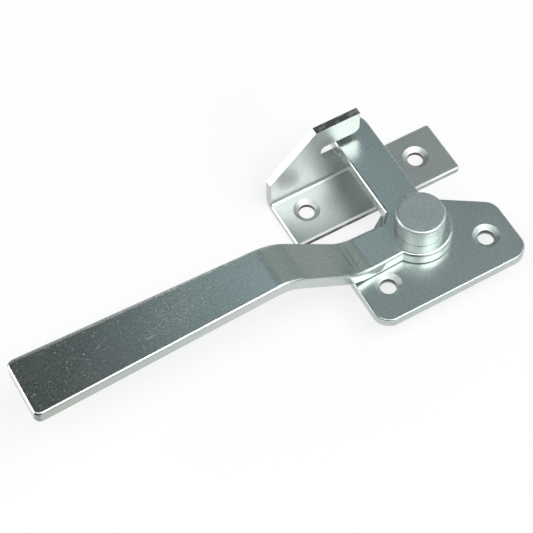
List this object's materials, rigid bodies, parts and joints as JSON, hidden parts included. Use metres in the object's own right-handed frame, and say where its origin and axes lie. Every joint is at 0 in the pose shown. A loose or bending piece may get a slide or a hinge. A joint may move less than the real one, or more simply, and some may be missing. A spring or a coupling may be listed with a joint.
{
  "type": "locking window handle",
  "caption": "Cranked flat-bar window handle on a riveted plate, with a latch arm that swings into the slot of a folded hook keeper.",
  "frame": {"origin": "midway between the two screw holes of the mounting plate, on the sash face", "axes": "+X along the screw row, away from the handle; +Y towards the keeper; +Z out of the window face"},
  "size_m": [0.147, 0.0637, 0.0333],
  "materials": {
    "zinc_plated_steel": "bright zinc plating on stamped steel bar",
    "zinc_plated_rivet": "zinc plating on turned steel",
    "zinc_plated_sheet": "bright zinc plating on folded steel sheet"
  },
  "bodies": {
    "base": {"mounting_plate": "zinc_plated_steel", "pivot_rivet": "zinc_plated_rivet", "keeper": "zinc_plated_sheet"},
    "lever": {"lever": "zinc_plated_steel"}
  },
  "joints": [
    {"name": "lever_turn", "type": "hinge", "parent": "base", "child": "lever", "pos_m": [0, 0.0101, 0], "axis": [0, 0, -1], "range_deg": [-6.5, 54]}
  ]
}
